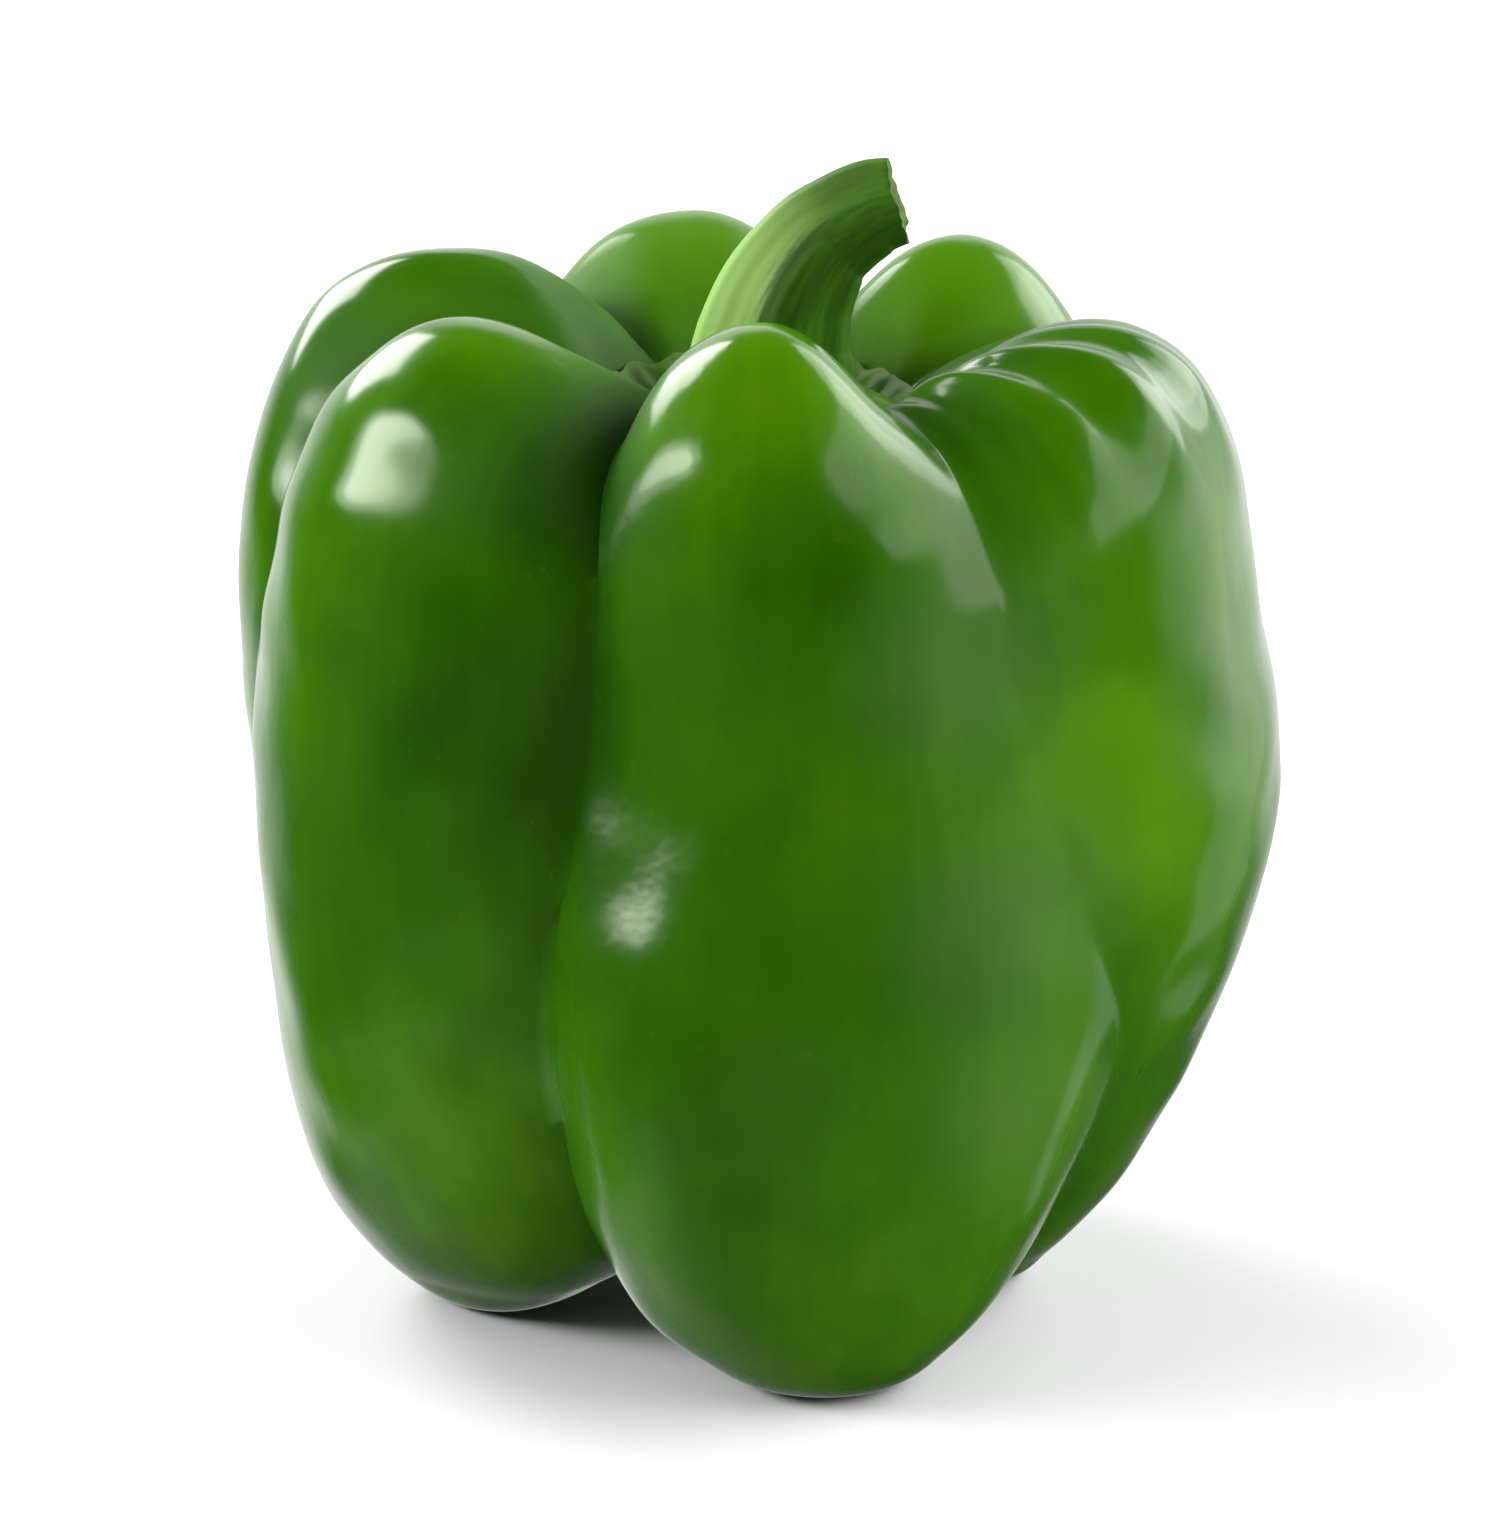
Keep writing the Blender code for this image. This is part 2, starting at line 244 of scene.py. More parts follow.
def normals_of(points):
    """The outward direction at every point of closed columns."""
    round_about = np.roll(points, -1, axis=0) - np.roll(points, 1, axis=0)
    along = np.gradient(points, axis=1)
    outward = np.cross(round_about, along)
    length = np.linalg.norm(outward, axis=-1, keepdims=True)
    return outward / np.maximum(length, SMALLEST_LENGTH)


def closed_piece(name, points, crest, grain, crease=SKIN_CREASE):
    """A closed mesh from columns of points whose first and last rows are each a single shared point."""
    count, rows = points.shape[:2]
    ring = rows - 2
    places = np.vstack([points[:, 1:-1].reshape(-1, 3), points[:1, 0], points[:1, -1]])
    first, last = count * ring, count * ring + 1
    here = np.arange(count)[:, None] * ring
    there = np.roll(here, -1, axis=0)
    row = np.arange(ring - 1)[None, :]
    quads = np.stack([here + row, here + row + 1, there + row + 1, there + row], axis=-1)
    quads = quads.reshape(-1, 4)
    caps = [(first, int(a), int(b)) for a, b in zip(here[:, 0], there[:, 0])]
    caps += [(int(a) + ring - 1, last, int(b) + ring - 1) for a, b in zip(here[:, 0], there[:, 0])]
    mesh = bpy.data.meshes.new(name)
    mesh.from_pydata(places.tolist(), [], quads.tolist() + caps)
    mesh.validate()
    mesh.shade_smooth()
    mesh.set_sharp_from_angle(angle=math.radians(crease))
    crests = np.concatenate([crest[:, 1:-1].ravel(), crest[:1, 0], crest[:1, -1]])
    mesh.attributes.new("crest", "FLOAT", "POINT").data.foreach_set("value", crests.astype(np.float32))
    grains = np.vstack([grain[:, 1:-1].reshape(-1, 3), grain[:1, 0], grain[:1, -1]])
    kept = mesh.attributes.new("grain", "FLOAT_VECTOR", "POINT").data
    kept.foreach_set("vector", grains.astype(np.float32).ravel())
    piece = bpy.data.objects.new(name, mesh)
    bpy.context.scene.collection.objects.link(piece)
    print(f"{name}: {2 * len(quads) + len(caps)} triangles")
    return piece


def rolled_out(turn, lengthwise, radius, stretch):
    """A place in the rolled-out skin. Round the piece it is a circle, so that it has no seam."""
    around, along = np.broadcast_arrays(np.radians(turn), lengthwise * stretch)
    return np.stack([radius * np.cos(around), radius * np.sin(around), along], axis=-1)


# %% [markdown]
# ## The fruit
#
# The rows are closest together where the skin bends most: over the shoulders, and round the feet.
# The feet are pressed flat by a fraction of a millimetre, because the real skin gives a little where
# the weight rests, and because a shape that truly touches the floor casts a believable shadow.

# %% Fruit
DISH_ROWS, SHOULDER_ROWS, WALL_ROWS, SOLE_ROWS = 46, 66, 84, 44
SKIN_INSET = 0.31 * MM  # keeps the highest swells inside the plain solid
FOOT_FLAT_Z, FOOT_FREE_Z = 0.2 * MM, 3.0 * MM  # the swells grow between these heights


def fruit():
    column = COLUMNS
    dish, over, down = (
        np.linspace(0.0, 1.0, rows + 1)[None, :-1] for rows in (DISH_ROWS, SHOULDER_ROWS, WALL_ROWS)
    )
    inward = np.linspace(0.0, 1.0, SOLE_ROWS + 1)[None, :]
    crown_r, crown_z, belly_r, belly_z = column.crown_r, column.crown_z, column.belly_r, column.belly_z
    foot_r, foot_z, shoulder, taper = column.foot_r, column.foot_z, column.shoulder, column.taper
    dish_r, dish_z = dish_curve(column, dish)
    shoulder_r = bezier(crown_r, crown_r + shoulder * (belly_r - crown_r), belly_r, belly_r, over)
    shoulder_z = bezier(crown_z, crown_z, belly_z + shoulder * (crown_z - belly_z), belly_z, over)
    wall_r = bezier(belly_r, belly_r, foot_r + taper * (belly_r - foot_r), foot_r, down)
    wall_z = bezier(belly_z, belly_z + taper * (foot_z - belly_z), foot_z, foot_z, down)
    outer, inner = SOLE_HANDLES
    sole_r = bezier(foot_r, foot_r * outer, foot_r * inner, 0.0, inward)
    sole_z = bezier(foot_z, foot_z, BLOSSOM_Z, BLOSSOM_Z, inward)
    radius = np.concatenate([dish_r, shoulder_r, wall_r, sole_r], axis=1)
    height = np.concatenate([dish_z, shoulder_z, wall_z, sole_z], axis=1)
    turn = turned(height, column)
    radius = bumped(radius, height, turn)
    radius, height = pleated(radius, height, turn)
    points = placed(radius, height, turn)
    free = smooth(points[..., 2], FOOT_FLAT_Z, FOOT_FREE_Z)
    points = points - normals_of(points) * ((SKIN_INSET - swell(points)) * free)[..., None]
    crest = np.broadcast_to(column.edge, radius.shape)
    grain = rolled_out(turn, height * MM, WALL_R * MM, 1.0)
    return closed_piece("fruit_skin", points, crest, grain)


fruit_skin = fruit()
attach(fruit_skin, "root")
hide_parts("pepper_body")

# %% [markdown]
# ## The calyx
#
# The calyx is what is left of the flower: five or six sepals grown together into a cap. It hugs the
# floor of the dish, rises in a low collar round the stem, and ends in a thin wavy rim whose points
# reach up the grooves. It follows the same lines as the fruit, a little above the skin, so it can't
# cut through a lobe. The points lift off the skin, because a drying sepal curls.

# %% Calyx
CALYX_GAP, CALYX_RIM, CALYX_THICK = 0.15, 0.55, 1.5
CALYX_REACH, CALYX_TIP, CALYX_TIP_SHARP = 0.46, 0.17, 3.0
CALYX_WAVE, CALYX_WAVES = 0.012, 17
CALYX_CAP_Z = 75.7
COLLAR_R, COLLAR_WIDTH, COLLAR_RISE = 8.6, 1.4, 0.9
TIP_LIFT = 0.9
CALYX_RIBS, CALYX_RIB_RISE = 30, 0.10
CALYX_ROWS = 60
# Shares of the way from the middle to the rim: where a rib rises and ends, and where a point lifts.
RIB_START, RIB_FULL, RIB_FALL, TIP_START = 0.45, 0.70, 0.90, 0.70
CALYX_GRAIN_R, CALYX_GRAIN_STRETCH = 10.0, 0.25


def calyx():
    column = COLUMNS
    groove = 1.0 - column.edge
    around = np.linspace(0.0, 2.0 * np.pi, len(groove), endpoint=False)[:, None]
    tip = groove**CALYX_TIP_SHARP
    reach = CALYX_REACH + CALYX_TIP * tip + CALYX_WAVE * np.sin(CALYX_WAVES * around)
    share = np.linspace(0.0, 1.0, CALYX_ROWS)[None, :]
    radius, height = dish_curve(column, share * reach)
    slope_r, slope_z = np.gradient(radius, axis=1), np.gradient(height, axis=1)
    length = np.hypot(slope_r, slope_z)
    inward, upward = -slope_z / length, slope_r / length
    turn = turned(height, column)
    lift = CALYX_GAP + TIP_LIFT * tip * smooth(share, TIP_START, 1.0)
    under = placed(radius + lift * inward, height + lift * upward, turn)
    thick = lift + CALYX_RIM + (CALYX_THICK - CALYX_RIM) * (1.0 - share**2)
    ribbed = smooth(share, RIB_START, RIB_FULL) * (1.0 - smooth(share, RIB_FALL, 1.0))
    rib = CALYX_RIB_RISE * np.cos(CALYX_RIBS * around) * ribbed
    top_r = np.maximum(radius + (thick + rib) * inward, 0.0)
    collar = COLLAR_RISE * np.exp(-(((top_r - COLLAR_R) / COLLAR_WIDTH) ** 2))
    top_z = np.maximum(height + (thick + rib) * upward, CALYX_CAP_Z) + collar
    top = placed(top_r, top_z, turn)
    points = np.concatenate([under, top[:, ::-1]], axis=1)
    rim = np.concatenate([share, share[:, ::-1]], axis=1) * np.ones_like(groove)
    lengthwise = np.concatenate([radius, radius[:, ::-1]], axis=1) * MM
    turns = np.concatenate([turn, turn[:, ::-1]], axis=1)
    grain = rolled_out(turns, lengthwise, CALYX_GRAIN_R * MM, CALYX_GRAIN_STRETCH)
    return closed_piece("calyx_cap", points, rim, grain)


calyx_cap = calyx()
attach(calyx_cap, "root")
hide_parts("calyx")

# %% [markdown]
# ## The stem
#
# The stem is a ribbed stalk that bends to the right and gets thinner towards the cut. It is swept
# along a smooth curve through a few chosen places. Its section isn't round: five broad ribs run its
# whole length, with fine lines between them. The cut end has dried, so its middle has sunk and its
# lip is ragged.

# %% Stem
STEM_BASE_Z = CALYX_CAP_Z + 0.3
STEM = (  # the middle line and half-width from the base to the cut end, in mm
    (0.2, 0.6, STEM_BASE_Z, 7.6),
    (0.4, 0.4, 78.6, 6.8),
    (0.8, 0.2, 82.0, 6.1),
    (1.9, 0.0, 85.6, 5.4),
    (4.1, -0.2, 89.2, 4.6),
    (6.2, -0.3, 91.0, 4.15),
    (8.6, -0.4, 92.4, 3.85),
    (10.7, -0.5, 93.0, 3.45),
)
STEM_SIDES, STEM_SECTIONS, CUT_RINGS = 240, 150, 26
STEM_RIBS, STEM_RIB_DEPTH, STEM_RIB_TURN = 5, 0.07, 20.0
FINE_RIBS, FINE_RIB_DEPTH, FINE_WANDER, FINE_WANDERS = 26, 0.005, 1.3, 3
CUT_DISH_DEPTH, CUT_DISH_START, CUT_DISH_END = 0.9, 0.05, 0.6
CUT_RAGGED, CUT_WAVES = 0.14, (3, 5, 8, 13, 19)
RAGGED_FROM, RAGGED_INSIDE = 0.93, 0.55  # how far along the stem, and how far in from its lip
STEM_GRAIN_R, STEM_GRAIN_LENGTH, STEM_GRAIN_STRETCH = 5.0, 22.0, 0.18
STEM_CREASE = 38.0


def stem_sections():
    knots = np.array(STEM)
    knots = np.vstack([2.0 * knots[0] - knots[1], knots, 2.0 * knots[-1] - knots[-2]])
    place = np.linspace(0.0, len(STEM) - 1.0, STEM_SECTIONS)
    index = np.minimum(place.astype(int), len(STEM) - 2)
    share = (place - index)[:, None]
    first, here, there, last = (knots[index + offset] for offset in range(4))
    return 0.5 * (
        2.0 * here
        + (there - first) * share
        + (2.0 * first - 5.0 * here + 4.0 * there - last) * share**2
        + (3.0 * here - first - 3.0 * there + last) * share**3
    )


def stem():
    sections = stem_sections()
    middle, half_width = sections[:, :3], sections[:, 3]
    heading = np.gradient(middle, axis=0)
    heading /= np.linalg.norm(heading, axis=1, keepdims=True)
    heading[0] = (0.0, 0.0, 1.0)
    side = np.cross(heading, (0.0, 1.0, 0.0))
    side /= np.linalg.norm(side, axis=1, keepdims=True)
    deep = np.cross(heading, side)
    around = np.arange(STEM_SIDES) * 2.0 * np.pi / STEM_SIDES
    broad = np.cos(STEM_RIBS * (around - math.radians(STEM_RIB_TURN)))
    fine = np.cos(FINE_RIBS * around + FINE_WANDER * np.sin(FINE_WANDERS * around))
    rib = 1.0 + STEM_RIB_DEPTH * broad + FINE_RIB_DEPTH * fine
    across = (np.cos(around) * rib)[:, None, None] * side * half_width[:, None]
    along = (np.sin(around) * rib)[:, None, None] * deep * half_width[:, None]
    outline = middle + across + along
    base = np.broadcast_to(middle[0], (STEM_SIDES, 1, 3))
    inward = np.linspace(1.0, 0.0, CUT_RINGS)[None, 1:, None]
    rim = outline[:, -1:]
    sunk = CUT_DISH_DEPTH * smooth(1.0 - inward, CUT_DISH_START, CUT_DISH_END)
    random = np.random.default_rng(SEED + 1)
    waves = sum(
        np.sin(count * around + random.uniform(0.0, 2.0 * np.pi)) / count**0.5 for count in CUT_WAVES
    )
    ragged = CUT_RAGGED * waves[:, None, None] * heading[-1]
    near_cut = smooth(np.linspace(0.0, 1.0, STEM_SECTIONS), RAGGED_FROM, 1.0)[None, :, None]
    outline = outline + ragged * near_cut
    cut = middle[-1] + (rim - middle[-1]) * inward - heading[-1] * sunk
    cut = cut + ragged * smooth(inward, RAGGED_INSIDE, 1.0)
    points = np.concatenate([base, outline, cut], axis=1)
    points = (points + (AXIS_X, AXIS_Y, -FOOT_PRESS)) * MM
    lengthwise = np.linspace(0.0, STEM_GRAIN_LENGTH * MM, points.shape[1])[None, :]
    crest = np.broadcast_to((0.5 + 0.5 * broad)[:, None], points.shape[:2])
    turn = np.degrees(around)[:, None] * np.ones_like(lengthwise)
    grain = rolled_out(turn, lengthwise, STEM_GRAIN_R * MM, STEM_GRAIN_STRETCH)
    return closed_piece("stem_stalk", points, crest, grain, STEM_CREASE)


stem_stalk = stem()
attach(stem_stalk, "root")
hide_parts("stem")

# %% [markdown]
# ## Shader maths that reads like Python
#
# A finish is a small graph of nodes. Placing and linking them by hand hides the idea, so one class
# wraps a socket that carries a number and lets us write `1 - mask` or `speck * 0.3`, which adds the
# Math nodes for us. Every other node comes from one method, which takes the kind of node, its
# settings, and what goes into its sockets.

# %% Shader helpers
MIX_COLOUR_A, MIX_COLOUR_B, MIX_COLOUR_RESULT = 6, 7, 2  # places of the Mix node's colour sockets


class Value:
    """What a node gives out, with arithmetic for the nodes that give numbers."""

    def __init__(self, graph, socket):
        self.graph = graph
        self.socket = socket

    def maths(self, operation, first, second):
        return self.graph.node("ShaderNodeMath", {"operation": operation}, {0: first, 1: second})

    def __add__(self, other):
        return self.maths("ADD", self, other)

    def __sub__(self, other):
        return self.maths("SUBTRACT", self, other)

    def __rsub__(self, other):
        return self.maths("SUBTRACT", other, self)

    def __mul__(self, other):
        return self.maths("MULTIPLY", self, other)

    __radd__ = __add__
    __rmul__ = __mul__


class Graph:
    """A tree of nodes that are made as they are asked for."""

    def __init__(self, tree):
        self.tree = tree

    def feed(self, socket, source):
        if isinstance(source, Value):
            self.tree.links.new(source.socket, socket)
        else:
            socket.default_value = source

    def node(self, kind, settings=None, sockets=None, output=0):
        made = self.tree.nodes.new(kind)
        for name, value in (settings or {}).items():
            setattr(made, name, value)
        for name, source in (sockets or {}).items():
            self.feed(made.inputs[name], source)
        return Value(self, made.outputs[output])

    def part(self, vector, axis):
        return self.node("ShaderNodeSeparateXYZ", {}, {0: vector}, axis)

    def fade(self, value, low, high, to_low=0.0, to_high=1.0):
        """Changes smoothly from to_low to to_high as value goes from low to high."""
        sockets = {"Value": value, "From Min": low, "From Max": high}
        sockets.update({"To Min": to_low, "To Max": to_high})
        return self.node("ShaderNodeMapRange", {"interpolation_type": "SMOOTHSTEP"}, sockets)


class Finish(Graph):
    """A material with a Principled shader, and the nodes that finishes use most."""

    def __init__(self, name, **constants):
        self.material = bpy.data.materials.new(name)
        self.material.use_nodes = True
        super().__init__(self.material.node_tree)
        self.surface = self.tree.nodes["Principled BSDF"]
        for socket, value in constants.items():
            self.surface.inputs[socket.replace("_", " ")].default_value = value

    def point(self):
        return self.node("ShaderNodeTexCoord", output="Object")

    def kept(self, name, output="Fac"):
        """A fact that the mesh keeps on every point."""
        return self.node("ShaderNodeAttribute", {"attribute_name": name}, output=output)

    def stretched(self, place, lengthwise):
        """The place with its length squeezed, so that a noise read there is drawn out into streaks."""
        sockets = {0: place, 1: (1.0, 1.0, lengthwise)}
        return self.node("ShaderNodeVectorMath", {"operation": "MULTIPLY"}, sockets)

    def distance(self, place, centre):
        sockets = {0: place, 1: centre}
        return self.node("ShaderNodeVectorMath", {"operation": "DISTANCE"}, sockets, "Value")

    def clamped(self, value):
        return self.node("ShaderNodeClamp", {}, {"Value": value})

    def noise(self, place, size, detail=2.0, roughness=0.5):
        """Soft random grey whose patches are about size millimetres across."""
        sockets = {"Vector": place, "Scale": 1.0 / (size * MM)}
        sockets.update({"Detail": detail, "Roughness": roughness})
        return self.node("ShaderNodeTexNoise", {}, sockets, "Fac")

    def mix(self, share, first, second):
        """A colour that is first where share is 0 and second where it is 1."""
        first, second = (
            colour if isinstance(colour, Value) else (*colour, 1.0) for colour in (first, second)
        )
        sockets = {"Factor": share, MIX_COLOUR_A: first, MIX_COLOUR_B: second}
        return self.node("ShaderNodeMix", {"data_type": "RGBA"}, sockets, MIX_COLOUR_RESULT)

    def bump(self, height, rise, under=None):
        """Dents the shading as if the skin rose by so many millimetres where height is 1."""
        sockets = {"Height": height, "Distance": rise * MM}
        if under is not None:
            sockets["Normal"] = under
        return self.node("ShaderNodeBump", {}, sockets)

    def cover(self, piece, **sockets):
        for name, source in sockets.items():
            self.feed(self.surface.inputs[name.replace("_", " ")], source)
        piece.data.materials.append(self.material)
        print(f"{self.material.name}: {len(self.tree.nodes)} nodes")

    def duller(self, share, colour, normal, **constants):
        """Lets a duller surface of the same colour show where share is 1."""
        sockets = {name.replace("_", " "): value for name, value in constants.items()}
        sockets.update({"Base Color": colour, "Normal": normal})
        dull = self.node("ShaderNodeBsdfPrincipled", {}, sockets)
        glossy = Value(self, self.surface.outputs[0])
        both = self.node("ShaderNodeMixShader", {}, {0: share, 1: glossy, 2: dull})
        self.feed(self.tree.nodes["Material Output"].inputs["Surface"], both)


# %% [markdown]
# ## The fruit's skin
#
# A ripe green pepper is glossy because a thin wax covers it, and its green isn't even. It is clouded
# everywhere, with faint streaks from top to bottom and tiny pale specks. Light and shade are painted
# into the colour as well: painted highlights make the crowns paler and yellower, painted shade deepens
# the grooves and the flanks that the lamps miss, and painted light brightens the flanks that face them.
# So the green is one number, the tone, looked up between three greens. Soft noises cloud it, and a list
# of patches makes it paler or deeper where this fruit is. An image could do the same, but it would fit
# only one side. On the front lobe's right flank a pale greyish green paints the sheen of a soft reflection.

# %% Fruit colours and where they go
DEEP_GREEN = (0.0125, 0.064, 0.0003)
MID_GREEN = (0.0300, 0.120, 0.0004)
# The palest green is partly the skin's own paler tone and partly painted light and painted highlights.
PALE_AND_LIT_GREEN = (0.0660, 0.195, 0.0006)
PALE_SPECK = (0.085, 0.20, 0.014)
# A pale greyish green that paints the sheen of a soft reflection on the front lobe's right flank.
PAINTED_SHEEN = (0.095, 0.170, 0.062)

# Where the skin is painted paler or deeper: a place and a reach in millimetres, and by how much. Most
# patches paint light: painted shade by the left front lobe's groove and on the front lobe, painted
# highlights on the crowns, painted light on the front lobe's left flank, and a painted sheen on its
# right flank and low on the right lobe. The rest make the tone paler or deeper in places.
Patch = namedtuple("Patch", "across deep up reach paler")
PATCHES = {
    "painted shade on the left front lobe's flank": Patch(-14, -28, 58, 24, -0.60),
    "painted shade on the shoulder over that flank": Patch(-16, -25, 77, 14, -0.25),
    "deep patch on the left front lobe": Patch(-33, -23, 45, 16, -0.18),
    "pale foot of the left front lobe": Patch(-22, -26, 22, 24, 0.30),
    "painted highlight on the left front lobe's crown": Patch(-19, -16, 87, 12, 0.40),
    "painted highlight on the front lobe's crown": Patch(0, -27, 85, 16, 0.45),
    "painted shade in a stripe on the front lobe": Patch(5, -35, 70, 17, -0.22),
    "painted shade low on the front lobe": Patch(4, -40, 36, 24, -0.32),
    "painted light on the front lobe's left flank": Patch(-8, -33, 66, 20, 0.40),
    "painted sheen on the front lobe's right flank": Patch(14, -34, 56, 18, 0.08),
    "pale right lobe": Patch(27, -25, 66, 24, 0.25),
    "painted sheen low on the right lobe": Patch(30, -24, 38, 26, 0.40),
    "yellow stripe in the right groove": Patch(27, -27, 50, 15, 0.45),
    "painted highlight on the back lobe's crown": Patch(-6, 20, 86, 18, 0.55),
    "painted highlight on the right back lobe's crown": Patch(17, 13, 84, 16, 0.75),
}
# Three overlapping spots of painted sheen, from the middle of the flank to above and below it. Here the
# last value is how much of the sheen's pale greyish colour shows.
PAINTED_SHEEN_SPOTS = (Patch(20, -31, 42, 15, 0.34), Patch(17, -32, 62, 14, 0.34), Patch(18, -28, 26, 13, 0.34))
print(len(PATCHES), "patches,", len(PAINTED_SHEEN_SPOTS), "spots of bloom")

# %% Fruit colour
CLOUD_SIZE, BLOTCH_SIZE, STREAK_SIZE, SPECK_SIZE = 26.0, 8.0, 2.6, 0.9
STREAK_STRETCH = 0.12
CLOUD_TONES, BLOTCH_TONES, STREAK_TONES = (0.35, 0.65), (-0.07, 0.07), (-0.03, 0.05)
# Painted shade in the grooves: how much darker the tone gets at a groove's bottom, and how far up the lobe
# it reaches.
GROOVE_PAINTED_SHADE, GROOVE_SHADE_END = 0.25, 0.35
SPECK_SHARE = 0.10
# A noise seldom leaves the middle of its range, so each is spread out between two values near there.
WIDE_SPREAD, STREAK_SPREAD, SPECK_SPREAD = (0.30, 0.70), (0.35, 0.75), (0.70, 0.78)
FINE_DETAIL, SPECK_DETAIL = (3.0, 0.6), (1.0, 0.4)  # a noise's detail and its roughness
# Some light enters the flesh under the skin and comes out nearby. Green light goes furthest.
FLESH = {
    "Subsurface_Weight": 0.08,
    "Subsurface_Radius": (0.5, 1.0, 0.15),
    "Subsurface_Scale": 1.4 * MM,
}

skin = Finish(
    "fruit skin",
    IOR=1.46,
    Specular_Tint=(0.93, 1.0, 0.80, 1.0),
    Coat_Weight=0.10,
    Coat_Roughness=0.10,
    **FLESH,
)
place, grain, crest = skin.point(), skin.kept("grain", "Vector"), skin.kept("crest")
clouds = skin.noise(place, CLOUD_SIZE)
blotches = skin.noise(place, BLOTCH_SIZE)
streaks = skin.noise(skin.stretched(grain, STREAK_STRETCH), STREAK_SIZE, *FINE_DETAIL)
tone = skin.fade(clouds, *WIDE_SPREAD, *CLOUD_TONES) + skin.fade(blotches, *WIDE_SPREAD, *BLOTCH_TONES)
tone = tone + skin.fade(streaks, *STREAK_SPREAD, *STREAK_TONES)
# Painted shade: the tone darkens towards the bottom of each groove.
tone = tone - skin.fade(crest, 0.0, GROOVE_SHADE_END, GROOVE_PAINTED_SHADE, 0.0)


def patch_share(patch):
    """The patch's strength at its middle, fading to nothing at its reach."""
    centre = (patch.across * MM, patch.deep * MM, patch.up * MM)
    return skin.fade(skin.distance(place, centre), 0.0, patch.reach * MM, patch.paler, 0.0)


for patch in PATCHES.values():
    tone = tone + patch_share(patch)
green = skin.mix(skin.clamped(tone * 2.0), DEEP_GREEN, MID_GREEN)
green = skin.mix(skin.clamped(tone * 2.0 - 1.0), green, PALE_AND_LIT_GREEN)
speck = skin.fade(skin.noise(place, SPECK_SIZE, *SPECK_DETAIL), *SPECK_SPREAD)
green = skin.mix(speck * SPECK_SHARE, green, PALE_SPECK)
# Painted sheen: a soft reflection painted into the colour of the front lobe's right flank.
for sheen in PAINTED_SHEEN_SPOTS:
    green = skin.mix(patch_share(sheen), green, PAINTED_SHEEN)

# %% [markdown]
# The highlights of a pepper aren't mirror-sharp, because the cells under the wax make it very slightly
# bumpy. The shape already has the larger swells, so a Bump node only adds what is too small to model:
# ripples a few millimetres long, and on the left of the front lobe fine pits, which mottle its bright
# spots. Both fade out in the dish, where the rolled-out skin is squeezed together near the axis.
#
# Down in the dish and in the grooves near it the skin has no gloss. Raising the roughness of the one
# shader there would leave faint contour lines when the render's noise is smoothed away, so a second,
# dull shader takes over bit by bit instead.

# %% Fruit gloss
RIPPLE_SIZE, RIPPLE_STRETCH, RIPPLE_RISE, CALM_RIPPLE = 4.0, 0.4, 0.10, 0.5
PIT_SIZE, PIT_RISE, PIT_DETAIL = 1.1, 0.016, 1.0
GLOSS_ROUGHNESS, DULL_ROUGHNESS, DULL_IOR = (0.155, 0.19), 0.62, 1.30
# Where the bumps and the dullness fade in or out, in millimetres across, deep, up or from the axis.
PITS_LEFT, PITS_RIGHT, BUMPS_FROM_AXIS = (-18.0, -14.0), (0.0, 8.0), (16.0, 28.0)
GROOVE_UP, GROOVE_ACROSS = (68.0, 78.0), (0.0, 12.0)
DISH_FROM_AXIS, DISH_DEEP, DISH_ACROSS, DISH_UP = (17.0, 29.0), (-21.0, -13.0), (5.0, 14.0), (60.0, 68.0)
# How near to a groove's bottom the skin is dull, and how much of the dullness is left on the right.
GROOVE_CREST, RIGHT_GROOVE_SHARE, RIGHT_DISH_SHARE = (0.10, 0.70), 0.15, 0.3


def millimetres(pair):
    return pair[0] * MM, pair[1] * MM


across, deep, up = (skin.part(place, axis) for axis in "XYZ")
from_axis = skin.distance(skin.stretched(place, 0.0), (AXIS_X * MM, AXIS_Y * MM, 0.0))
outside = skin.fade(from_axis, *millimetres(BUMPS_FROM_AXIS))
pitted = skin.fade(across, *millimetres(PITS_LEFT)) * skin.fade(across, *millimetres(PITS_RIGHT), 1.0, 0.0)
pits = skin.noise(place, PIT_SIZE, PIT_DETAIL) * pitted * outside
ripples = skin.noise(skin.stretched(grain, RIPPLE_STRETCH), RIPPLE_SIZE)
ripples = ripples * skin.fade(pitted, 0.0, 1.0, CALM_RIPPLE, 1.0) * outside
uneven = skin.bump(ripples, RIPPLE_RISE, skin.bump(pits, PIT_RISE))
dull_groove = skin.fade(crest, *GROOVE_CREST, 1.0, 0.0) * skin.fade(up, *millimetres(GROOVE_UP))
dull_groove = dull_groove * skin.fade(across, *millimetres(GROOVE_ACROSS), 1.0, RIGHT_GROOVE_SHARE)
dull_dish = skin.fade(from_axis, *millimetres(DISH_FROM_AXIS), 1.0, 0.0)
dull_dish = dull_dish * skin.fade(deep, *millimetres(DISH_DEEP)) * skin.fade(up, *millimetres(DISH_UP))
dull_dish = dull_dish * skin.fade(across, *millimetres(DISH_ACROSS), 1.0, RIGHT_DISH_SHARE)
dull = skin.clamped(dull_groove + dull_dish)
rough = skin.fade(blotches, *WIDE_SPREAD, *GLOSS_ROUGHNESS)
skin.duller(dull, green, uneven, Roughness=DULL_ROUGHNESS, IOR=DULL_IOR, **FLESH)
skin.cover(fruit_skin, Base_Color=green, Roughness=rough, Normal=uneven)

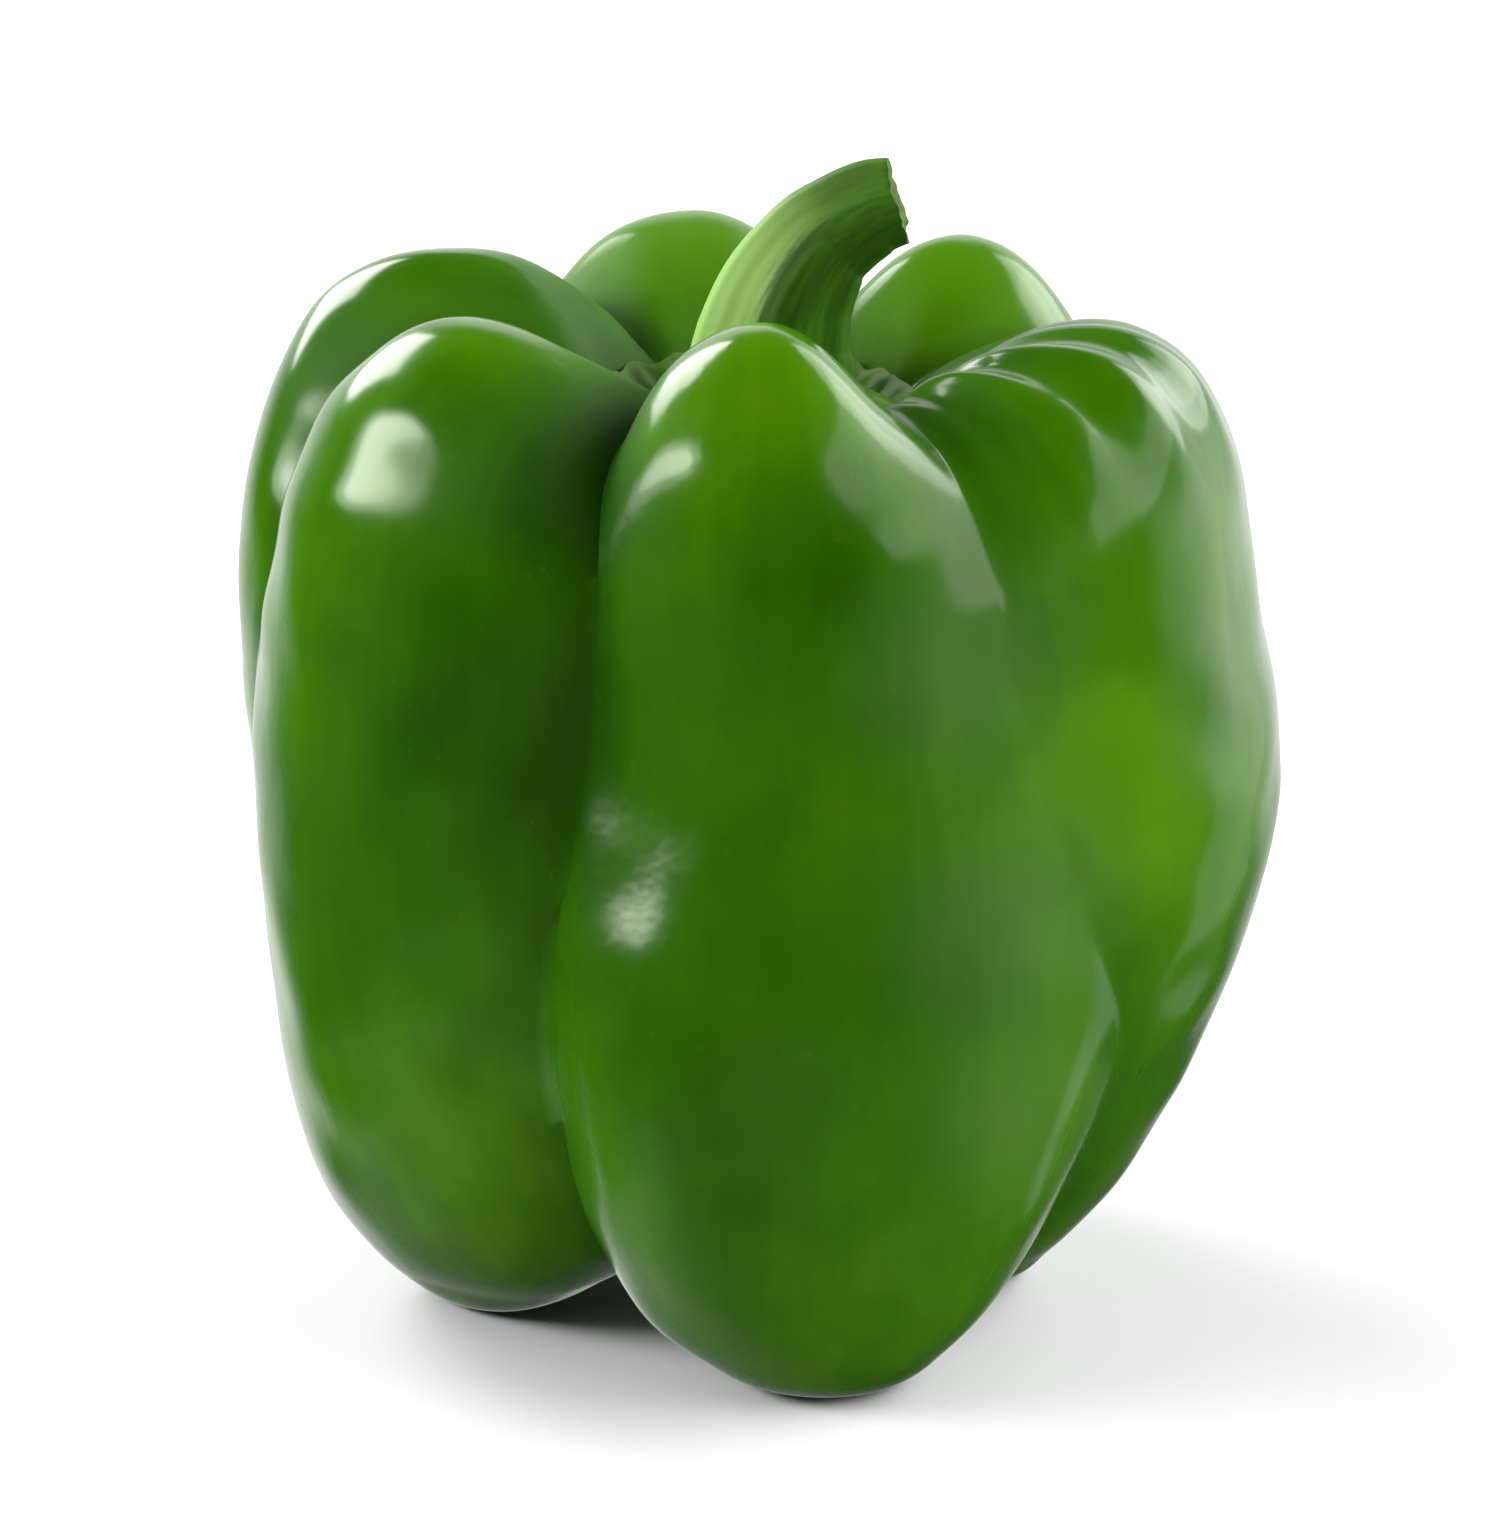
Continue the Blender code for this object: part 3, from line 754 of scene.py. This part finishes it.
# %% [markdown]
# ## The calyx's and the stem's finish
#
# Both are drier than the fruit, with a satin surface and fine lines that run outward from the stem and
# along it. Noise read in the rolled-out skin gives such lines at once, since that skin is squeezed
# lengthwise. The rim of the calyx has begun to dry to a yellowish green.

# %% Calyx finish
LEAF_DEEP, LEAF_MID, LEAF_PALE = (0.014, 0.060, 0.001), (0.045, 0.150, 0.003), (0.130, 0.300, 0.020)
DRY_RIM = (0.13, 0.21, 0.03)
VEIN_SIZE, LEAF_CLOUD_SIZE, VEIN_RISE = 0.45, 3.0, 0.06
LEAF_ROUGHNESS = (0.55, 0.70)
LEAF_DEEP_SHARE, DRY_RIM_SHARE, DRY_RIM_WANDER = 0.5, 0.6, 0.10
NARROW_SPREAD, VEIN_SPREAD = (0.35, 0.65), (0.35, 0.70)
RIM_EDGE = (0.98, 1.06)  # where the drying starts, as a share of the way out plus the wander

cap = Finish("calyx leaf", IOR=1.35)
clouds = cap.noise(cap.point(), LEAF_CLOUD_SIZE)
lines = cap.noise(cap.kept("grain", "Vector"), VEIN_SIZE, *FINE_DETAIL)
rim = cap.fade(cap.kept("crest") + clouds * DRY_RIM_WANDER, *RIM_EDGE)
green = cap.mix(cap.fade(lines, *VEIN_SPREAD), LEAF_MID, LEAF_PALE)
green = cap.mix(cap.fade(clouds, *NARROW_SPREAD, LEAF_DEEP_SHARE, 0.0), green, LEAF_DEEP)
green = cap.mix(rim * DRY_RIM_SHARE, green, DRY_RIM)
rough = cap.fade(lines, *WIDE_SPREAD, *LEAF_ROUGHNESS)
cap.cover(calyx_cap, Base_Color=green, Roughness=rough, Normal=cap.bump(lines, VEIN_RISE))

# %% [markdown]
# The stem is deep green. On its left side, which faces the lamps, painted light makes a pale band that
# narrows towards the cut. The cut itself has dried to a dull olive. A picture painted round the stem could
# show both, but the mesh already knows enough. Its rolled-out skin has a circle, which tells the side
# that a point faces, and a length, which tells how near the cut is.

# %% Stem finish
# Painted light: the pale green of the stem's side that faces the lamps.
STEM_PAINTED_LIGHT = (0.270, 0.480, 0.105)
DRY_CUT = (0.140, 0.170, 0.040)
FINE_LINE_SIZE, WIDE_LINE_SIZE, RIND_CLOUD_SIZE, LINE_RISE = 0.40, 1.5, 4.0, 0.03
PALE_TO_LEFT, PALE_TO_FRONT, PALE_WANDER = 0.87, 0.5, 0.8
PALE_EDGE = (4.4, 5.3)  # in mm on the rolled-out circle, towards the side with painted light
PALE_NARROWS, PALE_AT_CUT = (1.3, 2.7), 0.10  # in mm along the rolled-out length, which is squeezed
LIP, CUT_FACE, DRY_CUT_SHARE = (3.25, 3.38), (3.40, 3.55), 0.6
RIND_ROUGHNESS, RIND_TONES = (0.52, 0.62), (0.2, 0.8)

stalk = Finish("stem rind", IOR=1.30)
grain = stalk.kept("grain", "Vector")
lines = stalk.noise(grain, FINE_LINE_SIZE, *FINE_DETAIL)
wide_lines = stalk.noise(grain, WIDE_LINE_SIZE)
clouds = stalk.noise(stalk.point(), RIND_CLOUD_SIZE)
facing = stalk.part(grain, "X") * PALE_TO_LEFT + stalk.part(grain, "Y") * PALE_TO_FRONT
facing = facing + (wide_lines + lines) * PALE_WANDER * MM
length = stalk.part(grain, "Z")
# Painted light: a pale band on the side facing the lamps, narrowing towards the cut.
painted_lit_side = stalk.fade(facing, *millimetres(PALE_EDGE))
painted_lit_side = painted_lit_side * stalk.fade(length, *millimetres(PALE_NARROWS), 1.0, PALE_AT_CUT)
painted_lit_side = painted_lit_side * stalk.fade(length, *millimetres(LIP), 1.0, 0.0)
streaked = stalk.fade(lines * 0.5 + wide_lines * 0.5, *NARROW_SPREAD, *RIND_TONES)
green = stalk.mix(streaked, LEAF_DEEP, LEAF_MID)
green = stalk.mix(painted_lit_side, green, STEM_PAINTED_LIGHT)
green = stalk.mix(stalk.fade(length, *millimetres(CUT_FACE), 0.0, DRY_CUT_SHARE), green, DRY_CUT)
rough = stalk.fade(clouds, *WIDE_SPREAD, *RIND_ROUGHNESS)
stalk.cover(stem_stalk, Base_Color=green, Roughness=rough, Normal=stalk.bump(lines, LINE_RISE))

# %% [markdown]
# ## Floor and room
#
# The picture is a studio shot on white paper, so the floor is one large pale sheet. The waxy skin
# mirrors whatever stands round it, which makes the room as important as the lamps. A white wall behind
# and to the right draws the pale edges, and towards the camera the room is dark, which keeps the front
# of the lobes a deep green. The lit paper's own mirror image would be too bright low on the lobes, so
# the wax doesn't see the floor, and a weak glow from below stands for it. The wall and the glow are
# never seen directly and need no mesh. They are the world's brightness, which changes with direction.

# %% Floor
FLOOR_HALF = 4.0
PAPER, PAPER_ROUGHNESS = (0.885, 0.862, 0.900, 1.0), 0.9
corners = [(-FLOOR_HALF, -FLOOR_HALF, 0.0), (FLOOR_HALF, -FLOOR_HALF, 0.0)]
corners += [(FLOOR_HALF, FLOOR_HALF, 0.0), (-FLOOR_HALF, FLOOR_HALF, 0.0)]
floor_mesh = bpy.data.meshes.new("floor")
floor_mesh.from_pydata(corners, [], [(0, 1, 2, 3)])
floor = bpy.data.objects.new("floor", floor_mesh)
bpy.context.scene.collection.objects.link(floor)
floor.visible_glossy = False
Finish("white paper", Base_Color=PAPER, Roughness=PAPER_ROUGHNESS).cover(floor)

# %% Room
# Each pair is where a soft edge starts and ends, on the scale of a direction's parts, from -1 to 1.
# The last one is the glow's weakest and strongest light.
WALL_TO_RIGHT, WALL_SIDE, WALL_TOP, ABOVE_WALL = 0.40, (0.20, 0.65), (0.40, 0.62), 0.05
WALL_TILT, WALL_FOOT, WALL_LIGHT = 0.25, (-0.60, -0.30), 1.1
GLOW_TO_LEFT, GLOW_TO_BACK, GLOW_SIDE, GLOW_LIGHT = 0.9, 0.5, (-0.1, 0.9), (0.03, 0.45)
WHITE = (1.0, 1.0, 1.0, 1.0)

world = bpy.data.worlds.new("studio room")
bpy.context.scene.world = world
world.use_nodes = True
room = Graph(world.node_tree)
direction = room.node("ShaderNodeTexCoord", output="Generated")
across, deep, up = (room.part(direction, axis) for axis in "XYZ")
white_wall = room.fade(deep + across * WALL_TO_RIGHT, *WALL_SIDE) * room.fade(up, *WALL_TOP, 1.0, ABOVE_WALL)
above_foot = room.fade(up - across * WALL_TILT, *WALL_FOOT)
table_side = room.fade(deep * GLOW_TO_BACK - across * GLOW_TO_LEFT, *GLOW_SIDE, *GLOW_LIGHT)
brightness = white_wall * above_foot * WALL_LIGHT + (1.0 - above_foot) * table_side
background = world.node_tree.nodes["Background"]
room.feed(background.inputs["Color"], WHITE)
room.feed(background.inputs["Strength"], brightness)
print(f"{world.name}: {len(world.node_tree.nodes)} nodes")

# %% [markdown]
# ## Lamps
#
# Every bright shape on the skin is the mirror image of a lamp or a wall, so each lamp was placed by the
# mark it leaves. The key stands high on the left and makes the bright spots on the two front lobes. It has
# two layers, a narrow one with a wider and weaker one behind it, because a real soft box is brightest
# in its middle. A box behind on the left draws the line along the crowns. On the right a long weak box
# and one behind it light the shoulder, and a tall dim window low at the back draws the pale band at
# the fruit's right edge. Three large fills brighten the greens. They don't show in the wax, because
# they would veil it.

# %% Lamps
# Turn goes round from the camera, positive to the right, and rise is the height over level. Both, and
# the roll about the lamp's own direction, are in degrees. Distance, width and height are in metres, and
# power is in watts.
SoftBox = namedtuple(
    "SoftBox",
    "turn rise distance width height power roll shape mirrored",
    defaults=(0.0, "RECTANGLE", True),
)
SOFT_BOXES = {
    "left key": SoftBox(-79, 25, 1.00, 0.85, 0.23, 4.5, 26, "ELLIPSE"),
    "left key's glow": SoftBox(-79, 25, 1.01, 1.15, 0.36, 4.7, 26, "ELLIPSE"),
    "left back box": SoftBox(-141, 28, 1.00, 0.46, 0.52, 6.4),
    "right box": SoftBox(94, 33, 1.00, 1.50, 0.32, 3.0),
    "right back box": SoftBox(133, 28, 1.00, 0.58, 0.56, 2.9),
    "right window": SoftBox(118, -6, 1.00, 0.50, 1.15, 0.7, shape="ELLIPSE"),
    "right fill": SoftBox(81, 31, 1.80, 2.00, 1.40, 39.0, mirrored=False),
    "left fill": SoftBox(-112, 42, 1.80, 2.00, 1.40, 14.0, mirrored=False),
    "front fill": SoftBox(-40, 50, 1.80, 2.00, 1.40, 5.0, mirrored=False),
}
AIM_X, AIM_Z = -0.03, 44.3
AIM = Vector((AIM_X, AXIS_Y, AIM_Z)) * MM
FORWARD = Vector((0.0, 0.0, 1.0))


def hang(name, box):
    """Adds a lamp that looks at the pepper's middle."""
    around, up = math.radians(box.turn), math.radians(box.rise)
    away = Vector((math.sin(around) * math.cos(up), -math.cos(around) * math.cos(up), math.sin(up)))
    lamp = bpy.data.lights.new(name, "AREA")
    lamp.shape = box.shape
    lamp.size, lamp.size_y = box.width, box.height
    lamp.energy = box.power
    holder = bpy.data.objects.new(name, lamp)
    holder.location = AIM + away * box.distance
    facing = (-away).to_track_quat("-Z", "Y") @ Quaternion(FORWARD, math.radians(box.roll))
    holder.rotation_euler = facing.to_euler()
    holder.visible_glossy = box.mirrored
    bpy.context.scene.collection.objects.link(holder)
    print(f"{name}: {box.power} W at {box.distance} m")


for name, box in SOFT_BOXES.items():
    hang(name, box)

# %% [markdown]
# ## Camera
#
# The camera looks down a little on the pepper through a long lens, which keeps the back lobes almost as
# large as the front ones. Depth blur stays off, so every edge is sharp, and the colours go into the
# picture without a film curve, so that the paper stays white.

# %% Camera
IMAGE_WIDTH, IMAGE_HEIGHT = 1510, 1536
SENSOR = 36.0
FOCAL_PIXELS = 5650.0
CAMERA_DISTANCE, CAMERA_RISE = 0.47, 16.2
CLIP_START = 0.01
camera_data = bpy.data.cameras.new("camera")
camera_data.sensor_width = SENSOR
camera_data.lens = FOCAL_PIXELS * SENSOR / max(IMAGE_WIDTH, IMAGE_HEIGHT)
camera_data.clip_start = CLIP_START
camera = bpy.data.objects.new("camera", camera_data)
rise = math.radians(CAMERA_RISE)
camera.location = AIM + Vector((0.0, -math.cos(rise), math.sin(rise))) * CAMERA_DISTANCE
camera.rotation_euler = (math.pi / 2.0 - rise, 0.0, 0.0)
bpy.context.scene.collection.objects.link(camera)
bpy.context.scene.camera = camera
bpy.context.scene.view_settings.view_transform = "Standard"
print(f"lens {camera_data.lens:.1f} mm")
